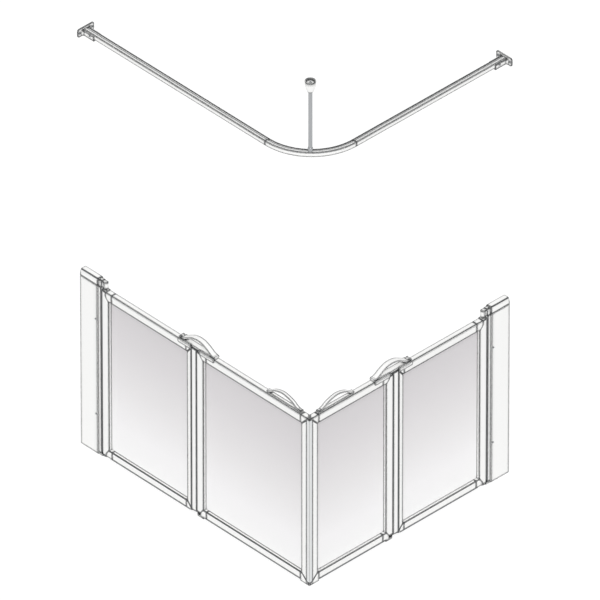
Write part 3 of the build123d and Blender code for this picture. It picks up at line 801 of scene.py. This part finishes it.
def smooth_line(points, steps):
    """Stations on a smooth curve through a few points."""
    line = []
    for i in range(len(points) - 1):
        p0, p1 = points[max(i - 1, 0)], points[i]
        p2, p3 = points[i + 1], points[min(i + 2, len(points) - 1)]
        for j in range(steps):
            t = j / steps
            here = []
            for a, b, c, d in zip(p0, p1, p2, p3):
                bend, twist = 2 * a - 5 * b + 4 * c - d, 3 * b - a - 3 * c + d
                here.append(0.5 * (2 * b + (c - a) * t + bend * t**2 + twist * t**3))
            line.append(tuple(here))
    return line + [tuple(points[-1])]


def swelling(count, thin, root, tip):
    """Thicknesses along a strap that swells towards both ends, each by so much in so many steps."""
    last = count - 1
    return [
        thin + root[0] * max(0, 1 - i / root[1]) + tip[0] * max(0, 1 - (last - i) / tip[1])
        for i in range(count)
    ]


def strap(name, line, depth, thickness):
    """A flat strap drawn out along a line of (station, level), turned to follow it."""
    turns = []
    for i in range(len(line)):
        before, after = line[max(i - 1, 0)], line[min(i + 1, len(line) - 1)]
        turns.append(math.atan2(after[1] - before[1], after[0] - before[0]))
    bpy.ops.object.select_all(action="DESELECT")
    bpy.ops.mesh.primitive_plane_add(size=1, location=(line[0][0], mid, line[0][1]))
    piece = bpy.context.object
    piece.name = name
    piece.scale = (thickness[0], depth, 1)
    piece.rotation_euler = (0, math.pi / 2 - turns[0], 0)
    bpy.ops.object.transform_apply(location=True, rotation=True, scale=True)
    bpy.ops.object.mode_set(mode="EDIT")
    bpy.ops.mesh.select_all(action="SELECT")
    for i in range(1, len(line)):
        step = (line[i][0] - line[i - 1][0], 0, line[i][1] - line[i - 1][1])
        here = (line[i][0], mid, line[i][1])
        bpy.ops.mesh.extrude_region_move(TRANSFORM_OT_translate={"value": step})
        bpy.ops.transform.rotate(
            value=turns[i] - turns[i - 1], orient_axis="Y", center_override=here
        )
        grow = thickness[i] / thickness[i - 1]
        tall, wide = abs(math.cos(turns[i])), abs(math.sin(turns[i]))
        bpy.ops.transform.resize(
            value=(1 + (grow - 1) * wide, 1, 1 + (grow - 1) * tall), center_override=here
        )
    bpy.ops.object.mode_set(mode="OBJECT")
    return piece


def lying_drum(name, station, level, radius, half_width):
    """A round solid that lies across the frame."""
    bpy.ops.object.select_all(action="DESELECT")
    bpy.ops.mesh.primitive_cylinder_add(
        vertices=48,
        radius=radius,
        depth=2 * half_width,
        location=(station, mid, level),
        rotation=(math.pi / 2, 0, 0),
    )
    piece = bpy.context.object
    piece.name = name
    bpy.ops.object.transform_apply(location=True, rotation=True, scale=True)
    return piece


# Semi-gloss white nylon, injection moulded: slightly softer in gloss than the caps, with a
# spark texture, drawn 1.2 mm across so that it shows, and the caps' painted shade in the joints.
# Its painted edge line is narrower than the caps', because the straps are thin, and there is none
# where its rounded ridges lean.
handle_nylon, tree = finish_named("white_moulded_nylon")
skin = coat_on(
    tree,
    ("F7F7F6", "FAFAF9"),
    "5A5D60",
    "3A3C3E",
    0.0012,
    0.15,
    (0.32, 0.40),
    line=0.010,
    ridges=False,
)
shader = node(tree, "ShaderNodeBsdfPrincipled", links=skin)
node(tree, "ShaderNodeOutputMaterial", links={"Surface": shader.outputs[0]})

points = [(room_end + x, base + z) for x, z in LEVER_ARCH] + [(lock_end - 0.003, base + 0.0052)]
lever_line = smooth_line(points, 4)
thick = swelling(len(lever_line), strap_thin, (0.006, 9), (0.005, 10))
lever = strap("lever", lever_line, frame_depth, thick)
plate = block("plate", (room_end, 0, base), (lock_end, frame_depth, plate_top))
round_edges(
    plate,
    plate_corner,
    6,
    lambda a, b: abs(a.z - b.z) > 0.003 and min(a.x, b.x) > lock_end - 0.001,
)
lip = lying_drum("lip", lock_end - lip_radius, base + 0.0050, lip_radius, lip_half)
parts = [lever, plate, lip]
over_wall_leaf = (lock_start, fold_axis["left"] - horn, lock_start)
over_corner_leaf = (link_axis["left"] + stile_face, lock_end, lock_end)
for start, end, free in (over_wall_leaf, over_corner_leaf):
    skirt = block("skirt", (start, skirt_out, frame_top - skirt_drop), (end, skirt_in, plate_top))
    round_edges(
        skirt,
        skirt_corner,
        6,
        lambda a, b: abs(a.y - b.y) > 0.002 and abs(a.x - free) < 0.001,
    )
    shelf_start = (max(start, room_end), -0.003, base + 0.0005)
    parts += [skirt, block("shelf", shelf_start, (end - 0.002, 0.003, base + 0.0055))]
parts.append(lying_drum("barrel", pivot, pivot_level, barrel_radius, neck_half))
neck_end = (room_end + 0.004, mid + neck_half, pivot_level + barrel_radius)
parts.append(block("neck", (pivot, mid - neck_half, base + 0.001), neck_end))
for part in parts:
    finish_mesh(part, lock_edge)
lock_handle = join("left_lock_lever", *parts)
twin = on_right_leg(lock_handle, "right_lock_lever", fold_shift)
stand_for(lock_handle, handle_nylon, "left_lock", "white_moulding", "left_lock_handle")
stand_for(twin, handle_nylon, "right_lock", "white_moulding", "right_lock_handle")

# Grab handles. A small white moulded bow on each corner leaf's top rail, to pull the door by. It
# is screwed down at both ends, and a round plug covers the screw nearest to the corner.

grab_length, grab_gap = 0.182, 0.050
grab_end = corner - grab_gap
grab_start = grab_end - grab_length
grab_depth, grab_plate, grab_corner, grab_edge = 0.016, 0.0045, 0.006, 0.0008
plug_radius, plug_bend, plug_top = 0.0055, 0.0015, frame_top + 0.0105
BOW_ARCH = (
    (0.003, 0.0045),
    (0.018, 0.0095),
    (0.042, 0.0255),
    (0.084, 0.0355),
    (0.128, 0.0255),
    (0.154, 0.0105),
)
BOW_END = ((-0.012, 0.0050), (-0.002, 0.0045))

points = [(grab_start + x, frame_top + z) for x, z in BOW_ARCH]
points += [(grab_end + x, frame_top + z) for x, z in BOW_END]
bow_line = smooth_line(points, 5)
thick = swelling(len(bow_line), strap_thin, (0.004, 8), (0.004, 8))
bow = strap("bow", bow_line, grab_depth, thick)
grab_front, grab_back = mid - grab_depth / 2, mid + grab_depth / 2
plate = block(
    "plate", (grab_start, grab_front, frame_top), (grab_end, grab_back, frame_top + grab_plate)
)
round_edges(plate, grab_corner, 5, lambda a, b: abs(a.z - b.z) > 0.003)
plug = drum("plug", (grab_end - 0.010, mid), plug_radius, frame_top + 0.004, plug_top, 48)
round_edges(plug, plug_bend, 4, lambda a, b: min(a.z, b.z) > plug_top - 0.0005)
for part in (bow, plate, plug):
    finish_mesh(part, grab_edge)
grab = join("left_grab_bow", bow, plate, plug)
twin = on_right_leg(grab, "right_grab_bow")
stand_for(grab, handle_nylon, "left_corner_leaf", "white_moulding", "left_grab_handle")
stand_for(twin, handle_nylon, "right_corner_leaf", "white_moulding", "right_grab_handle")

# Corner seals. A pale flexible strip on each free stile closes the corner, with a mitred face
# that presses on its twin.

# Flexible PVC, extruded in a pale grey: matt, with fine lines 1.2 mm apart that run upwards, and
# painted shade where it meets the parts beside it.
seal_lines = 833  # in a metre
pale_pvc, tree = finish_named("flexible_pale_pvc")
place = node(tree, "ShaderNodeTexCoord")
along = node(
    tree,
    "ShaderNodeMapping",
    links={"Vector": place.outputs["Object"]},
    Scale=(seal_lines, seal_lines, 10),
)
lines = node(
    tree, "ShaderNodeTexNoise", links={"Vector": along.outputs[0]}, Scale=1.0, Detail=2.0
)
tint = node(
    tree,
    "ShaderNodeValToRGB",
    links={"Fac": lines.outputs["Fac"]},
    stops=((0.3, "DADCDD"), (0.7, "E9EAEA")),
)
# Painted shade: the strip is darker where little open air reaches, by its stile and its twin.
open_air = node(tree, "ShaderNodeAmbientOcclusion", {"samples": 12}, Distance=0.008)
painted_joint_shade = node(
    tree,
    "ShaderNodeValToRGB",
    links={"Fac": open_air.outputs["AO"]},
    stops=((0.25, "707376"), (0.7, "FFFFFF")),
)
tone = node(
    tree, "ShaderNodeMix", MULTIPLY, links={6: tint.outputs[0], 7: painted_joint_shade.outputs[0]}, Factor=1.0
)
gloss = node(
    tree, "ShaderNodeMapRange", links={"Value": lines.outputs["Fac"]}, To_Min=0.5, To_Max=0.62
)
shader = node(
    tree,
    "ShaderNodeBsdfPrincipled",
    links={"Base Color": tone.outputs[2], "Roughness": gloss.outputs[0]},
)
node(tree, "ShaderNodeOutputMaterial", links={"Surface": shader.outputs[0]})
dress(pale_pvc, "left_corner_seal", "right_corner_seal")

# Curtain rail. Two straight arms and a bend of extruded aluminium with a runner groove, joined
# end to end, all with the covers' powder coat.

dress(powder_coat, "left_rail_arm", "right_rail_arm", "rail_bend")

# Rail brackets. A moulded flange with two ears is screwed to each wall, and the arm's end rests
# between its cheeks.

dress(moulded_white, "rail_brackets")

# Ceiling support. An anodised rod stands on the bend with a collar, and a bell shaped moulded
# cup covers its upper end at the ceiling.

# Satin anodised aluminium tube, drawn: light grey metal with draw lines 1 mm apart, which run
# upwards.
draw_lines = 1000  # in a metre
anodised, tree = finish_named("anodised_aluminium")
place = node(tree, "ShaderNodeTexCoord")
along = node(
    tree,
    "ShaderNodeMapping",
    links={"Vector": place.outputs["Object"]},
    Scale=(draw_lines, draw_lines, 6),
)
lines = node(
    tree, "ShaderNodeTexNoise", links={"Vector": along.outputs[0]}, Scale=1.0, Detail=2.0
)
tone = node(
    tree,
    "ShaderNodeValToRGB",
    links={"Fac": lines.outputs["Fac"]},
    stops=((0.3, "A3A5A7"), (0.7, "B6B8BA")),
)
gloss = node(
    tree, "ShaderNodeMapRange", links={"Value": lines.outputs["Fac"]}, To_Min=0.26, To_Max=0.36
)
shader = node(
    tree,
    "ShaderNodeBsdfPrincipled",
    links={"Base Color": tone.outputs[0], "Roughness": gloss.outputs[0]},
    Metallic=1.0,
)
node(tree, "ShaderNodeOutputMaterial", links={"Surface": shader.outputs[0]})
dress(anodised, "ceiling_rod")
dress(moulded_white, "ceiling_cup")

# Screws. Small cross head screws hold the covers, the rail's cheeks and the brackets' ears. They
# are plated steel, bright on the head, with painted shade in the cross.

# Zinc plated steel, cold headed: grey metal with mottling 0.6 mm across and painted shade in the
# cross.
zinc, tree = finish_named("zinc_plated_steel")
place = node(tree, "ShaderNodeTexCoord")
mottle = node(
    tree,
    "ShaderNodeTexNoise",
    links={"Vector": place.outputs["Object"]},
    Scale=1 / 0.0006,
    Detail=2.0,
)
tint = node(
    tree,
    "ShaderNodeValToRGB",
    links={"Fac": mottle.outputs["Fac"]},
    stops=((0.3, "6F7275"), (0.7, "8C8F91")),
)
# Painted shade: the cross is darker where little open air reaches.
open_air = node(tree, "ShaderNodeAmbientOcclusion", {"samples": 12}, Distance=0.003)
painted_joint_shade = node(
    tree,
    "ShaderNodeValToRGB",
    links={"Fac": open_air.outputs["AO"]},
    stops=((0.3, "3A3C3E"), (0.75, "FFFFFF")),
)
tone = node(
    tree, "ShaderNodeMix", MULTIPLY, links={6: tint.outputs[0], 7: painted_joint_shade.outputs[0]}, Factor=1.0
)
gloss = node(
    tree, "ShaderNodeMapRange", links={"Value": mottle.outputs["Fac"]}, To_Min=0.3, To_Max=0.42
)
shader = node(
    tree,
    "ShaderNodeBsdfPrincipled",
    links={"Base Color": tone.outputs[2], "Roughness": gloss.outputs[0]},
    Metallic=1.0,
)
node(tree, "ShaderNodeOutputMaterial", links={"Surface": shader.outputs[0]})
dress(zinc, "cover_screws", "bracket_screws")

# Floor, lamps and camera. The drawing is a parallel view from outside the corner, so the lens is
# very long and the camera stands far off. The floor is white to the camera and keeps a shadow.

centre = (0.6, 0.5, 1.095)  # of the whole screen
floor_size = 60
lamp_level, sun_level = 0.73, 1.27
sun_slant, sun_turn, sun_width = math.radians(48), math.radians(45), math.radians(25)
azimuth, elevation = math.radians(46.30), math.radians(36.48)
photo_width, film_width, lens = 600, 36, 1600
pixels_per_mm = 0.2770
aim_across, aim_up = 0.7951, 0.5189


def in_plain_view(tree):
    """A socket that is 1 for the camera's own rays, and for what metal and glass show."""
    seen = node(tree, "ShaderNodeLightPath")
    socket = seen.outputs["Is Camera Ray"]
    for other in ("Is Glossy Ray", "Is Transmission Ray"):
        links = {0: socket, 1: seen.outputs[other]}
        socket = node(tree, "ShaderNodeMath", {"operation": "MAXIMUM"}, links=links).outputs[0]
    return socket


bpy.ops.object.select_all(action="DESELECT")
bpy.ops.mesh.primitive_plane_add(size=floor_size, location=(*centre[:2], 0))
floor = bpy.context.object
floor.name = "floor"
pale, tree = finish_named("pale_floor")
view = in_plain_view(tree)
plain = node(tree, "ShaderNodeBsdfDiffuse", Color=linear("E6E6E6"))
faint = node(tree, "ShaderNodeBsdfDiffuse", Color=linear("8C8C8C"))
glow = node(tree, "ShaderNodeEmission", Color=linear("FFFFFF"), Strength=0.8)
backdrop = node(tree, "ShaderNodeAddShader", links={0: faint.outputs[0], 1: glow.outputs[0]})
surface = node(
    tree, "ShaderNodeMixShader", links={0: view, 1: plain.outputs[0], 2: backdrop.outputs[0]}
)
node(tree, "ShaderNodeOutputMaterial", links={"Surface": surface.outputs[0]})
floor.data.materials.append(pale)

world = bpy.data.worlds.new("studio")
bpy.context.scene.world = world
world.use_nodes = True
tree = world.node_tree
tree.nodes.clear()
view = in_plain_view(tree)
lamp = node(tree, "ShaderNodeBackground", Color=linear("FFFFFF"), Strength=lamp_level)
white = node(tree, "ShaderNodeBackground", Color=linear("FFFFFF"), Strength=1.0)
sky = node(tree, "ShaderNodeMixShader", links={0: view, 1: lamp.outputs[0], 2: white.outputs[0]})
node(tree, "ShaderNodeOutputWorld", links={"Surface": sky.outputs[0]})

bpy.ops.object.light_add(type="SUN", rotation=(sun_slant, 0, sun_turn))
sun = bpy.context.object
sun.name = "soft_sun"
sun.data.energy = sun_level
sun.data.angle = sun_width

right = (math.cos(azimuth), math.sin(azimuth), 0)
back = (
    math.sin(azimuth) * math.cos(elevation),
    -math.cos(azimuth) * math.cos(elevation),
    math.sin(elevation),
)
up = (
    -math.sin(azimuth) * math.sin(elevation),
    math.cos(azimuth) * math.sin(elevation),
    math.cos(elevation),
)
distance = photo_width * lens / film_width / pixels_per_mm / 1000
depth = sum(b * c for b, c in zip(back, centre))
target = [aim_across * r + aim_up * u + depth * b for r, u, b in zip(right, up, back)]
bpy.ops.object.camera_add(location=[t + distance * b for t, b in zip(target, back)])
camera = bpy.context.object
camera.name = "camera"
camera.rotation_mode = "XYZ"
camera.rotation_euler = (math.pi / 2 - elevation, 0, azimuth)
camera.data.lens = lens
camera.data.sensor_width = film_width
camera.data.clip_end = 1000
bpy.context.scene.camera = camera
bpy.context.scene.view_settings.view_transform = "Standard"
